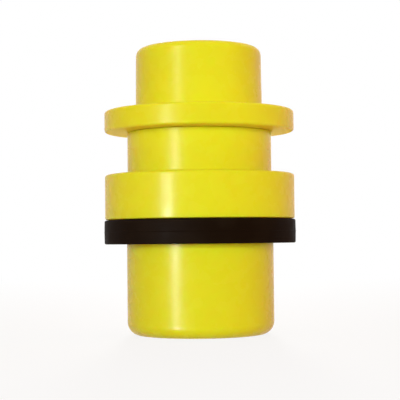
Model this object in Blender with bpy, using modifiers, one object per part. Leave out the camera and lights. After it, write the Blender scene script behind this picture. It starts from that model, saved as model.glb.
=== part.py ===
"""Fence insulator for the open top of a pipe post.

A yellow knob in two mouldings. The base pushes into the pipe, and its collar clamps a rubber ring on the
pipe's end. The cap is keyed into the base's neck and is drawn down by one screw, so the wire groove between
the two can be opened. Metres, +Z up, origin at the middle of the spigot's foot. Every radius is worked
outwards from the screw.
"""

from math import cos, pi, sin, tan

import bmesh
import bpy
from mathutils import Matrix, Vector

MM = 0.001

# Fits
SEAT_GAP = 0.10 * MM
SLIP_FIT = 0.10 * MM
BOLT_CLEARANCE = 0.30 * MM

# Clamp bolt and the rings on it
BOLT_RADIUS = 3.00 * MM
BOLT_HEAD_RADIUS = 5.00 * MM
BOLT_HEAD_HEIGHT = 4.00 * MM
BOLT_HEAD_EDGE = 0.40 * MM
BOLT_TIP_CHAMFER = 0.60 * MM
BOLT_ENGAGEMENT = 8.06 * MM
SOCKET_SIDES = 6
SOCKET_ACROSS_FLATS = 4.00 * MM
SOCKET_DEPTH = 2.30 * MM
SOCKET_POINT = 0.70 * MM
WASHER_MARGIN = 1.00 * MM
WASHER_THICKNESS = 1.60 * MM
WASHER_CLEARANCE = 0.30 * MM
SPRING_MARGIN = 0.60 * MM
SPRING_THICKNESS = 1.60 * MM
SPRING_SPLIT = 0.80 * MM
SPRING_SLANT = 25.0
KEEPER_INSET = 0.40 * MM
KEEPER_THICKNESS = 0.60 * MM
KEEPER_RIM = 0.90 * MM
KEEPER_SLOT = 0.70 * MM
KEEPER_SLOTS = 6
KEEPER_ROOM = 1.00 * MM

# Thread insert
INSERT_WALL = 1.10 * MM
INSERT_LENGTH = 11.00 * MM
INSERT_FLANGE_LIP = 1.00 * MM
INSERT_FLANGE_HEIGHT = 1.00 * MM
INSERT_WAIST_DEPTH = 0.35 * MM
INSERT_WAIST_HEIGHT = 1.60 * MM
INSERT_RECESS = 1.00 * MM

# Base moulding
SPIGOT_LENGTH = 12.76 * MM
SPIGOT_NOSE = 1.80 * MM
SKIRT_WALL = 2.40 * MM
CORE_GAP = 1.63 * MM
BOSS_WALL = 1.00 * MM
WEB_THICKNESS = 2.50 * MM
RIB_COUNT = 6
RIB_THICKNESS = 1.20 * MM
RIB_RECESS = 1.60 * MM
COLLAR_OVERHANG = 3.21 * MM
COLLAR_HEIGHT = 6.30 * MM
GROOVE_HEIGHT = 5.89 * MM
NECK_INNER_LIP = 0.80 * MM
NECK_OUTER_LIP = 1.16 * MM
NECK_FILLET = 0.30 * MM
EDGE_ROUND = 0.40 * MM

# Rubber rings
RING_HEIGHT = 3.44 * MM
RING_OVERHANG = 3.14 * MM
RING_EDGE = 0.20 * MM
O_RING_CORD = 1.30 * MM
O_RING_SIDE_ROOM = 0.20 * MM

# Cap moulding and its plug
CAP_BOSS_WALL = 2.30 * MM
CAP_BOSS_LENGTH = 5.50 * MM
CAP_BOSS_LEAD = 0.40 * MM
KEY_WIDTH = 2.80 * MM
KEY_DEPTH = 0.80 * MM
KEY_ROOT = 1.00 * MM
FLOOR_THICKNESS = 2.00 * MM
FLANGE_OVERHANG = 3.22 * MM
FLANGE_HEIGHT = 2.96 * MM
HEAD_WALL = 2.13 * MM
HEAD_DRAFT = 0.10 * MM
HEAD_ROUND = 1.05 * MM
HEAD_ROOM = 1.10 * MM
PLUG_LEDGE = 0.50 * MM
PLUG_THICKNESS = 1.20 * MM
PLUG_RECESS = 0.10 * MM
PLUG_EDGE = 0.25 * MM
PLUG_SKIRT_LENGTH = 2.30 * MM
PLUG_SKIRT_CLEARANCE = 0.40 * MM
NOTCH_WIDTH = 3.00 * MM
NOTCH_REACH = 0.90 * MM

# Facets
OUTER_STEPS = 48
INNER_STEPS = 36
ROUND_STEPS = 3
CORD_STEPS = 10
MERGE_DISTANCE = 0.01 * MM
OVERCUT = 1.00 * MM
SHARP_ANGLE = 30.0

# Radii, outwards from the bolt
BOLT_HOLE = BOLT_RADIUS + BOLT_CLEARANCE
PUSH_FIT_BORE = BOLT_RADIUS + SLIP_FIT
INSERT_RADIUS = PUSH_FIT_BORE + INSERT_WALL
INSERT_FLANGE_RADIUS = INSERT_RADIUS + INSERT_FLANGE_LIP
CORE_BOSS_RADIUS = INSERT_FLANGE_RADIUS + SLIP_FIT + BOSS_WALL
POCKET_RADIUS = CORE_BOSS_RADIUS + CORE_GAP
SPIGOT_RADIUS = POCKET_RADIUS + SKIRT_WALL
RING_BORE = SPIGOT_RADIUS + SLIP_FIT
RING_RADIUS = SPIGOT_RADIUS + RING_OVERHANG
CAP_BOSS_RADIUS = BOLT_HOLE + CAP_BOSS_WALL
NECK_BORE = CAP_BOSS_RADIUS + SLIP_FIT
KEYWAY_REACH = NECK_BORE + KEY_DEPTH
KEY_REACH = KEYWAY_REACH - SLIP_FIT
O_RING_INNER = KEYWAY_REACH + NECK_INNER_LIP
O_RING_OUTER = O_RING_INNER + O_RING_CORD + 2 * O_RING_SIDE_ROOM
NECK_RADIUS = O_RING_OUTER + NECK_OUTER_LIP
COLLAR_RADIUS = NECK_RADIUS + COLLAR_OVERHANG
FLANGE_RADIUS = NECK_RADIUS + FLANGE_OVERHANG
WASHER_RADIUS = BOLT_HEAD_RADIUS + WASHER_MARGIN
SPRING_RADIUS = BOLT_HEAD_RADIUS + SPRING_MARGIN
COUNTERBORE = WASHER_RADIUS + WASHER_CLEARANCE
PLUG_SEAT_RADIUS = COUNTERBORE + PLUG_LEDGE
PLUG_RADIUS = PLUG_SEAT_RADIUS - SLIP_FIT
HEAD_RADIUS = PLUG_SEAT_RADIUS + HEAD_WALL
KEEPER_RADIUS = CAP_BOSS_RADIUS - KEEPER_INSET

# Heights, upwards from the foot
RING_BOTTOM = SPIGOT_LENGTH
RING_TOP = RING_BOTTOM + RING_HEIGHT
COLLAR_TOP = RING_TOP + COLLAR_HEIGHT
NECK_TOP = COLLAR_TOP + GROOVE_HEIGHT
FLANGE_BOTTOM = NECK_TOP + SEAT_GAP
FLANGE_TOP = FLANGE_BOTTOM + FLANGE_HEIGHT
CAP_BOSS_BOTTOM = FLANGE_BOTTOM - CAP_BOSS_LENGTH
KEEPER_TOP = CAP_BOSS_BOTTOM - SEAT_GAP
KEEPER_BOTTOM = KEEPER_TOP - KEEPER_THICKNESS
NECK_BORE_FLOOR = KEEPER_BOTTOM - KEEPER_ROOM
POCKET_CEILING = NECK_BORE_FLOOR - WEB_THICKNESS
O_RING_FLOOR = NECK_TOP - O_RING_CORD - SEAT_GAP
O_RING_CENTRE = (NECK_TOP + O_RING_FLOOR) / 2
COUNTERBORE_FLOOR = FLANGE_BOTTOM + FLOOR_THICKNESS
WASHER_BOTTOM = COUNTERBORE_FLOOR + SEAT_GAP
WASHER_TOP = WASHER_BOTTOM + WASHER_THICKNESS
SPRING_BOTTOM = WASHER_TOP + SEAT_GAP
SPRING_TOP = SPRING_BOTTOM + SPRING_THICKNESS
BOLT_SEAT = SPRING_TOP + SEAT_GAP
BOLT_TOP = BOLT_SEAT + BOLT_HEAD_HEIGHT
PLUG_BOTTOM = BOLT_TOP + HEAD_ROOM
PLUG_TOP = PLUG_BOTTOM + PLUG_THICKNESS
PLUG_LEDGE_HEIGHT = PLUG_BOTTOM - SEAT_GAP
HEAD_TOP = PLUG_TOP + PLUG_RECESS
INSERT_BOTTOM = INSERT_RECESS + SEAT_GAP / 2
INSERT_SHOULDER = INSERT_BOTTOM + INSERT_FLANGE_HEIGHT
INSERT_TOP = INSERT_BOTTOM + INSERT_LENGTH
BOLT_TIP = INSERT_TOP - BOLT_ENGAGEMENT


def collection_named(name):
    """A new collection in the scene."""
    made = bpy.data.collections.new(name)
    bpy.context.scene.collection.children.link(made)
    return made


def material_named(name, colour, roughness, metallic=0.0):
    """A Principled material. The colour is in linear light."""
    made = bpy.data.materials.new(name)
    made.use_nodes = True
    shader = made.node_tree.nodes["Principled BSDF"]
    shader.inputs["Base Color"].default_value = (*colour, 1.0)
    shader.inputs["Roughness"].default_value = roughness
    shader.inputs["Metallic"].default_value = metallic
    return made


def softened(corners):
    """Turns corners (radius, height, round) into an outline with an arc in place of each rounded corner."""
    outline = []
    for index, (radius, height, size) in enumerate(corners):
        corner = Vector((radius, height))
        if size == 0:
            outline.append(corner)
            continue
        back = (Vector(corners[index - 1][:2]) - corner).normalized()
        ahead = (Vector(corners[(index + 1) % len(corners)][:2]) - corner).normalized()
        half_angle = back.angle(ahead) / 2
        centre = corner + (back + ahead).normalized() * size / sin(half_angle)
        first = (corner + back * size / tan(half_angle) - centre).normalized()
        last = (corner + ahead * size / tan(half_angle) - centre).normalized()
        for step in range(ROUND_STEPS + 1):
            outline.append(centre + first.slerp(last, step / ROUND_STEPS) * size)
    return outline


def turned(name, outline, steps, collection):
    """A body turned round Z from (radius, height) points that run down its outside.

    An outline that starts away from the axis closes on itself, as a ring's does.
    """
    profile = bmesh.new()
    points = [profile.verts.new((radius, 0, height)) for radius, height in outline]
    for upper, lower in zip(points, points[1:]):
        profile.edges.new((upper, lower))
    if outline[0][0] > 0:
        profile.edges.new((points[-1], points[0]))
    made = object_from(name, profile, collection)
    screw = made.modifiers.new("Turn", "SCREW")
    screw.axis = "Z"
    screw.angle = 2 * pi
    screw.steps = steps
    screw.render_steps = steps
    screw.use_merge_vertices = True
    screw.merge_threshold = MERGE_DISTANCE
    return made


def ring(name, inner, outer, bottom, top, steps, collection):
    """A flat ring of square section."""
    corners = [(outer, top), (outer, bottom), (inner, bottom), (inner, top)]
    return turned(name, corners, steps, collection)


def box(name, sides, centre, collection, turn=Matrix()):
    """A box of the given sides, turned about its centre."""
    shape = bmesh.new()
    place = Matrix.Translation(centre) @ turn @ Matrix.Diagonal((*sides, 1.0))
    bmesh.ops.create_cube(shape, size=1.0, matrix=place)
    return object_from(name, shape, collection)


def object_from(name, shape, collection):
    """An object that takes over a bmesh."""
    mesh = bpy.data.meshes.new(name)
    shape.to_mesh(mesh)
    shape.free()
    made = bpy.data.objects.new(name, mesh)
    collection.objects.link(made)
    return made


def combine(target, tool, operation):
    """Adds a Boolean to the target and puts the tool out of sight."""
    boolean = target.modifiers.new(f"{operation.title()} {tool.name}", "BOOLEAN")
    boolean.operation = operation
    boolean.object = tool
    tool.hide_render = True
    tool.display_type = "WIRE"


def cut(target, tool):
    """Cuts the tool out of the target."""
    combine(target, tool, "DIFFERENCE")


def make_base(parts, tools):
    """Spigot, collar and neck in one moulding, cored and ribbed from below."""
    body = turned(
        "base_body",
        softened(
            [
                (0, NECK_TOP, 0),
                (O_RING_INNER, NECK_TOP, 0),
                (O_RING_INNER, O_RING_FLOOR, 0),
                (O_RING_OUTER, O_RING_FLOOR, 0),
                (O_RING_OUTER, NECK_TOP, 0),
                (NECK_RADIUS, NECK_TOP, 0),
                (NECK_RADIUS, COLLAR_TOP, NECK_FILLET),
                (COLLAR_RADIUS, COLLAR_TOP, EDGE_ROUND),
                (COLLAR_RADIUS, RING_TOP, RING_EDGE),
                (SPIGOT_RADIUS, RING_TOP, 0),
                (SPIGOT_RADIUS, 0, SPIGOT_NOSE),
                (0, 0, 0),
            ]
        ),
        OUTER_STEPS,
        parts,
    )
    bore = turned(
        "base_bore",
        [
            (0, NECK_TOP + OVERCUT),
            (NECK_BORE, NECK_TOP + OVERCUT),
            (NECK_BORE, NECK_BORE_FLOOR),
            (BOLT_HOLE, NECK_BORE_FLOOR),
            (BOLT_HOLE, INSERT_TOP + SEAT_GAP),
            (INSERT_RADIUS + SLIP_FIT, INSERT_TOP + SEAT_GAP),
            (INSERT_RADIUS + SLIP_FIT, INSERT_SHOULDER + SEAT_GAP),
            (INSERT_FLANGE_RADIUS + SLIP_FIT, INSERT_SHOULDER + SEAT_GAP),
            (INSERT_FLANGE_RADIUS + SLIP_FIT, INSERT_RECESS),
            (CORE_BOSS_RADIUS + CORE_GAP / 2, INSERT_RECESS),
            (CORE_BOSS_RADIUS + CORE_GAP / 2, -OVERCUT),
            (0, -OVERCUT),
        ],
        INNER_STEPS,
        tools,
    )
    keyway_height = NECK_TOP - CAP_BOSS_BOTTOM + OVERCUT
    keyway = box(
        "base_keyway",
        (2 * KEYWAY_REACH, KEY_WIDTH + 2 * SLIP_FIT, keyway_height),
        (0, 0, CAP_BOSS_BOTTOM + keyway_height / 2),
        tools,
    )
    core = ring("base_core", CORE_BOSS_RADIUS, POCKET_RADIUS, -OVERCUT, POCKET_CEILING, INNER_STEPS, tools)
    rib_height = POCKET_CEILING + OVERCUT - RIB_RECESS
    for index in range(RIB_COUNT):
        angle = 2 * pi * (index + 0.5) / RIB_COUNT
        turn = Matrix.Rotation(angle, 4, "Z")
        middle = (CORE_BOSS_RADIUS + POCKET_RADIUS) / 2
        place = (middle * cos(angle), middle * sin(angle), RIB_RECESS + rib_height / 2)
        cut(core, box(f"rib_{index}", (2 * CORE_GAP, RIB_THICKNESS, rib_height), place, tools, turn))
    cut(body, core)
    cut(body, bore)
    cut(body, keyway)
    return body


def make_cap(parts, tools):
    """Head and thin flange, with a keyed boss below and a counterbore for the bolt's head."""
    head_top_radius = HEAD_RADIUS - HEAD_DRAFT
    body = turned(
        "cap_body",
        softened(
            [
                (0, HEAD_TOP, 0),
                (head_top_radius, HEAD_TOP, HEAD_ROUND),
                (HEAD_RADIUS, FLANGE_TOP, NECK_FILLET),
                (FLANGE_RADIUS, FLANGE_TOP, EDGE_ROUND),
                (FLANGE_RADIUS, FLANGE_BOTTOM, EDGE_ROUND),
                (CAP_BOSS_RADIUS, FLANGE_BOTTOM, 0),
                (CAP_BOSS_RADIUS, CAP_BOSS_BOTTOM + CAP_BOSS_LEAD, 0),
                (CAP_BOSS_RADIUS - CAP_BOSS_LEAD, CAP_BOSS_BOTTOM, 0),
                (0, CAP_BOSS_BOTTOM, 0),
            ]
        ),
        OUTER_STEPS,
        parts,
    )
    key_height = CAP_BOSS_LENGTH - CAP_BOSS_LEAD - SEAT_GAP + KEY_ROOT
    key_bottom = CAP_BOSS_BOTTOM + CAP_BOSS_LEAD + SEAT_GAP
    key_middle = (0, 0, key_bottom + key_height / 2)
    keys = box("cap_keys", (2 * KEY_REACH, KEY_WIDTH, key_height), key_middle, tools)
    bore = turned(
        "cap_bore",
        [
            (0, HEAD_TOP + OVERCUT),
            (PLUG_SEAT_RADIUS, HEAD_TOP + OVERCUT),
            (PLUG_SEAT_RADIUS, PLUG_LEDGE_HEIGHT),
            (COUNTERBORE, PLUG_LEDGE_HEIGHT),
            (COUNTERBORE, COUNTERBORE_FLOOR),
            (BOLT_HOLE, COUNTERBORE_FLOOR),
            (BOLT_HOLE, CAP_BOSS_BOTTOM - OVERCUT),
            (0, CAP_BOSS_BOTTOM - OVERCUT),
        ],
        INNER_STEPS,
        tools,
    )
    combine(body, keys, "UNION")
    cut(body, bore)
    return body


def make_plug(parts, tools):
    """Push-in plug: a flush disc, a skirt round the bolt's head and a notch to lift it by."""
    skirt_outer = COUNTERBORE - SLIP_FIT
    skirt_inner = BOLT_HEAD_RADIUS + PLUG_SKIRT_CLEARANCE
    skirt_bottom = PLUG_BOTTOM - PLUG_SKIRT_LENGTH
    plug = turned(
        "cover_plug",
        softened(
            [
                (0, PLUG_TOP, 0),
                (PLUG_RADIUS, PLUG_TOP, PLUG_EDGE),
                (PLUG_RADIUS, PLUG_BOTTOM, 0),
                (skirt_outer, PLUG_BOTTOM, 0),
                (skirt_outer, skirt_bottom, 0),
                (skirt_inner, skirt_bottom, 0),
                (skirt_inner, PLUG_BOTTOM, 0),
                (0, PLUG_BOTTOM, 0),
            ]
        ),
        INNER_STEPS,
        parts,
    )
    notch_height = 2 * PLUG_THICKNESS
    notch = box(
        "plug_notch",
        (2 * NOTCH_REACH, NOTCH_WIDTH, notch_height),
        (PLUG_RADIUS, 0, PLUG_BOTTOM + PLUG_THICKNESS / 2 + notch_height / 2),
        tools,
    )
    cut(plug, notch)
    return plug


def make_bolt(parts, tools):
    """Low head socket screw with a plain shank of the thread's outside size."""
    bolt = turned(
        "clamp_bolt",
        softened(
            [
                (0, BOLT_TOP, 0),
                (BOLT_HEAD_RADIUS, BOLT_TOP, BOLT_HEAD_EDGE),
                (BOLT_HEAD_RADIUS, BOLT_SEAT, 0),
                (BOLT_RADIUS, BOLT_SEAT, 0),
                (BOLT_RADIUS, BOLT_TIP + BOLT_TIP_CHAMFER, 0),
                (BOLT_RADIUS - BOLT_TIP_CHAMFER, BOLT_TIP, 0),
                (0, BOLT_TIP, 0),
            ]
        ),
        INNER_STEPS,
        parts,
    )
    corner = SOCKET_ACROSS_FLATS / 2 / cos(pi / SOCKET_SIDES)
    socket_floor = BOLT_TOP - SOCKET_DEPTH
    socket = turned(
        "bolt_socket",
        [
            (0, BOLT_TOP + OVERCUT),
            (corner, BOLT_TOP + OVERCUT),
            (corner, socket_floor),
            (0, socket_floor - SOCKET_POINT),
        ],
        SOCKET_SIDES,
        tools,
    )
    cut(bolt, socket)
    return bolt


def make_washers(parts, tools):
    """The flat washer, and the lock washer with its slanted split."""
    inner = PUSH_FIT_BORE
    flat = ring("flat_washer", BOLT_HOLE, WASHER_RADIUS, WASHER_BOTTOM, WASHER_TOP, INNER_STEPS, parts)
    spring = ring("spring_washer", inner, SPRING_RADIUS, SPRING_BOTTOM, SPRING_TOP, INNER_STEPS, parts)
    slant = Matrix.Rotation(SPRING_SLANT * pi / 180, 4, "X")
    middle = ((inner + SPRING_RADIUS) / 2, 0, (SPRING_BOTTOM + SPRING_TOP) / 2)
    sides = (2 * SPRING_RADIUS - inner, SPRING_SPLIT, 3 * SPRING_THICKNESS)
    cut(spring, box("spring_split", sides, middle, tools, slant))
    return flat, spring


def make_keeper(parts, tools):
    """Push-on ring whose slots leave teeth that grip the bolt."""
    keeper = ring("keeper_ring", PUSH_FIT_BORE, KEEPER_RADIUS, KEEPER_BOTTOM, KEEPER_TOP, INNER_STEPS, parts)
    reach = KEEPER_RADIUS - KEEPER_RIM
    middle = (KEEPER_BOTTOM + KEEPER_TOP) / 2
    for index in range(KEEPER_SLOTS):
        angle = 2 * pi * index / KEEPER_SLOTS
        turn = Matrix.Rotation(angle, 4, "Z")
        place = (reach / 2 * cos(angle), reach / 2 * sin(angle), middle)
        sides = (reach, KEEPER_SLOT, 3 * KEEPER_THICKNESS)
        cut(keeper, box(f"keeper_slot_{index}", sides, place, tools, turn))
    return keeper


def make_insert(parts):
    """Flanged insert with a waist between its two gripping bands."""
    waist_radius = INSERT_RADIUS - INSERT_WAIST_DEPTH
    middle = (INSERT_SHOULDER + INSERT_TOP) / 2
    waist_top = middle + INSERT_WAIST_HEIGHT / 2
    waist_bottom = middle - INSERT_WAIST_HEIGHT / 2
    outline = [
        (INSERT_RADIUS, INSERT_TOP),
        (INSERT_RADIUS, waist_top),
        (waist_radius, waist_top),
        (waist_radius, waist_bottom),
        (INSERT_RADIUS, waist_bottom),
        (INSERT_RADIUS, INSERT_SHOULDER),
        (INSERT_FLANGE_RADIUS, INSERT_SHOULDER),
        (INSERT_FLANGE_RADIUS, INSERT_BOTTOM),
        (PUSH_FIT_BORE, INSERT_BOTTOM),
        (PUSH_FIT_BORE, INSERT_TOP),
    ]
    return turned("thread_insert", outline, INNER_STEPS, parts)


def make_seal_ring(parts):
    """Flat ring between the collar and the pipe's end, slipped over the spigot."""
    top = RING_TOP - SEAT_GAP
    corners = [
        (RING_RADIUS, top, RING_EDGE),
        (RING_RADIUS, RING_BOTTOM, RING_EDGE),
        (RING_BORE, RING_BOTTOM, 0),
        (RING_BORE, top, 0),
    ]
    return turned("seal_ring", softened(corners), OUTER_STEPS, parts)


def make_o_ring(parts):
    """Round cord in the groove of the neck's top face."""
    middle = (O_RING_INNER + O_RING_OUTER) / 2
    outline = []
    for step in range(CORD_STEPS):
        angle = pi / 2 - 2 * pi * step / CORD_STEPS
        radius = middle + O_RING_CORD / 2 * cos(angle)
        outline.append((radius, O_RING_CENTRE + O_RING_CORD / 2 * sin(angle)))
    return turned("cap_o_ring", outline, INNER_STEPS, parts)


def finish(piece, material):
    """Applies a piece's modifiers, shades it smooth up to its sharp edges and gives it its material."""
    graph = bpy.context.evaluated_depsgraph_get()
    mesh = bpy.data.meshes.new_from_object(piece.evaluated_get(graph))
    mesh.shade_smooth()
    mesh.set_sharp_from_angle(angle=SHARP_ANGLE * pi / 180)
    mesh.materials.clear()
    mesh.materials.append(material)
    piece.modifiers.clear()
    piece.data = mesh


def carry(name, height, pieces, parent=None):
    """Parents pieces to an empty on the bolt's axis, where their joint is, and leaves them in place."""
    carrier = bpy.data.objects.new(name, None)
    bpy.context.scene.collection.objects.link(carrier)
    carrier.location = (0, 0, height - (parent.location.z if parent else 0))
    carrier.parent = parent
    for piece in pieces:
        piece.parent = carrier
        piece.matrix_parent_inverse = Matrix.Translation((0, 0, -height))
    return carrier


def main():
    for old in list(bpy.data.objects):
        bpy.data.objects.remove(old)
    parts = collection_named("fence_insulator")
    tools = collection_named("cutters")

    base = make_base(parts, tools)
    seal = make_seal_ring(parts)
    insert = make_insert(parts)
    o_ring = make_o_ring(parts)
    cap = make_cap(parts, tools)
    flat, spring = make_washers(parts, tools)
    bolt = make_bolt(parts, tools)
    keeper = make_keeper(parts, tools)
    plug = make_plug(parts, tools)

    yellow = material_named("yellow_plastic", (0.80, 0.74, 0.02), 0.28)
    rubber = material_named("black_rubber", (0.012, 0.010, 0.008), 0.60)
    brass = material_named("brass", (0.62, 0.43, 0.16), 0.30, 1.0)
    steel = material_named("zinc_steel", (0.58, 0.58, 0.56), 0.32, 1.0)
    finishes = {yellow: [base, cap, plug], rubber: [seal, o_ring], brass: [insert]}
    finishes[steel] = [flat, spring, bolt, keeper]
    for material, pieces in finishes.items():
        for piece in pieces:
            finish(piece, material)

    base_carrier = carry("base", 0, [base, seal, insert, o_ring])
    cap_carrier = carry("cap", FLANGE_BOTTOM, [cap, flat], base_carrier)
    carry("bolt", BOLT_SEAT, [bolt, spring, keeper], cap_carrier)
    carry("cover", PLUG_BOTTOM, [plug], cap_carrier)


main()
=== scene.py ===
"""Looks of a fence insulator that stands on the open top of a pipe post.

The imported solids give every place. Each class here rebuilds one sub-assembly as smooth meshes with its fine
detail, dresses it in its finish and lets it ride on the body that carries it. Outlines are in millimetres,
as radius, height and corner round about the knob's axis, and everything that reaches Blender is in metres.
"""

import logging
import math
from collections.abc import Callable, Sequence
from dataclasses import dataclass, field
from enum import Enum
from functools import partial
from itertools import pairwise

import bmesh
import bpy
from bmesh.types import BMEdge, BMesh, BMVert
from bpy.types import Material, Node, NodeSocket, NodeTree, Object
from mathutils import Matrix, Vector


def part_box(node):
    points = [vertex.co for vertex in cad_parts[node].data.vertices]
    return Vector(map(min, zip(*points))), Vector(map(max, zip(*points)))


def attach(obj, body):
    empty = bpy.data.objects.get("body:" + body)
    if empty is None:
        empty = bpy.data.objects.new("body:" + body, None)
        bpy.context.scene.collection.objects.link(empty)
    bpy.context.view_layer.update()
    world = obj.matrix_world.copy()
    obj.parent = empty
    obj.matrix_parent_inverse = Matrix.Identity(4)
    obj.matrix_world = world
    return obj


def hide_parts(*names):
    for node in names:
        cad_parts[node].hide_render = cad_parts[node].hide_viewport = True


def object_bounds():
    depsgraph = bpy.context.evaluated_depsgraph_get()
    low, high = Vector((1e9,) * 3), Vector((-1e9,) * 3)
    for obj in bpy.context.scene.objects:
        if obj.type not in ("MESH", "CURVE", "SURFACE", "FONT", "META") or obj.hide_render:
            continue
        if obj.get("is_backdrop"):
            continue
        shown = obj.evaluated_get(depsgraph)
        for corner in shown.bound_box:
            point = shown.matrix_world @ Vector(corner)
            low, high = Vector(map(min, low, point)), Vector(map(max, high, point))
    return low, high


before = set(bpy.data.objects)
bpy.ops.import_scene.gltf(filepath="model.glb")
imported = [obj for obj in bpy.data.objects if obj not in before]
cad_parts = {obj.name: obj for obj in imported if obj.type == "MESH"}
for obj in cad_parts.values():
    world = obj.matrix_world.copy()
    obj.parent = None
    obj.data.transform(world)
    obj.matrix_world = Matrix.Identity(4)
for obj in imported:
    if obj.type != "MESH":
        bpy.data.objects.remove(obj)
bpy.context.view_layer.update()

LOG = logging.getLogger("fence_insulator")
MM = 0.001
FULL_TURN = 2 * math.pi
WELD = 1e-6
SHARP_ANGLE = math.radians(35)
OUTER_STEPS = 160
INNER_STEPS = 96
THREAD_STEPS = 48
ROUND_SEGMENTS = 6
BLOCK_SEGMENTS = 2
PARTING_HALF_WIDTH_MM = 0.07
PARTING_HEIGHT_MM = 0.025
# The wave texture runs through this many radians in one unit of length.
WAVE_RADIANS = 20
# A Mix node's sockets for colours, whose names its other sockets share.
MIX_COLOUR_INPUTS = (6, 7)
MIX_COLOUR_OUTPUT = 2

Colour = tuple[float, float, float]


class Body(Enum):
    """The bodies that carry the pieces."""

    BASE = "base"
    CAP = "cap"
    BOLT = "bolt"
    COVER = "cover"


class Slot(Enum):
    """The record's material slots."""

    YELLOW = "yellow_plastic"
    RUBBER = "black_rubber"
    BRASS = "brass"
    STEEL = "zinc_steel"


class Joining(Enum):
    """How one shape is combined with another."""

    ADD = "UNION"
    CUT = "DIFFERENCE"


@dataclass(frozen=True)
class Corner:
    """A corner of an outline, in millimetres, with the round that softens it."""

    radius: float
    height: float
    round: float = 0.0


@dataclass(frozen=True)
class Extent:
    """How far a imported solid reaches, in millimetres."""

    bottom: float
    top: float
    radius: float

    @classmethod
    def of(cls, node: str) -> "Extent":
        """Measures a solid.

        Args:
            node: the solid's name.

        Returns:
            Its lowest and highest level, and its reach from the knob's axis.
        """
        low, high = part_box(node)
        return cls(low.z / MM, high.z / MM, -low.x / MM)


def reach_of(node: str) -> Extent:
    """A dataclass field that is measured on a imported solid."""
    return field(default_factory=partial(Extent.of, node))


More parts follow.
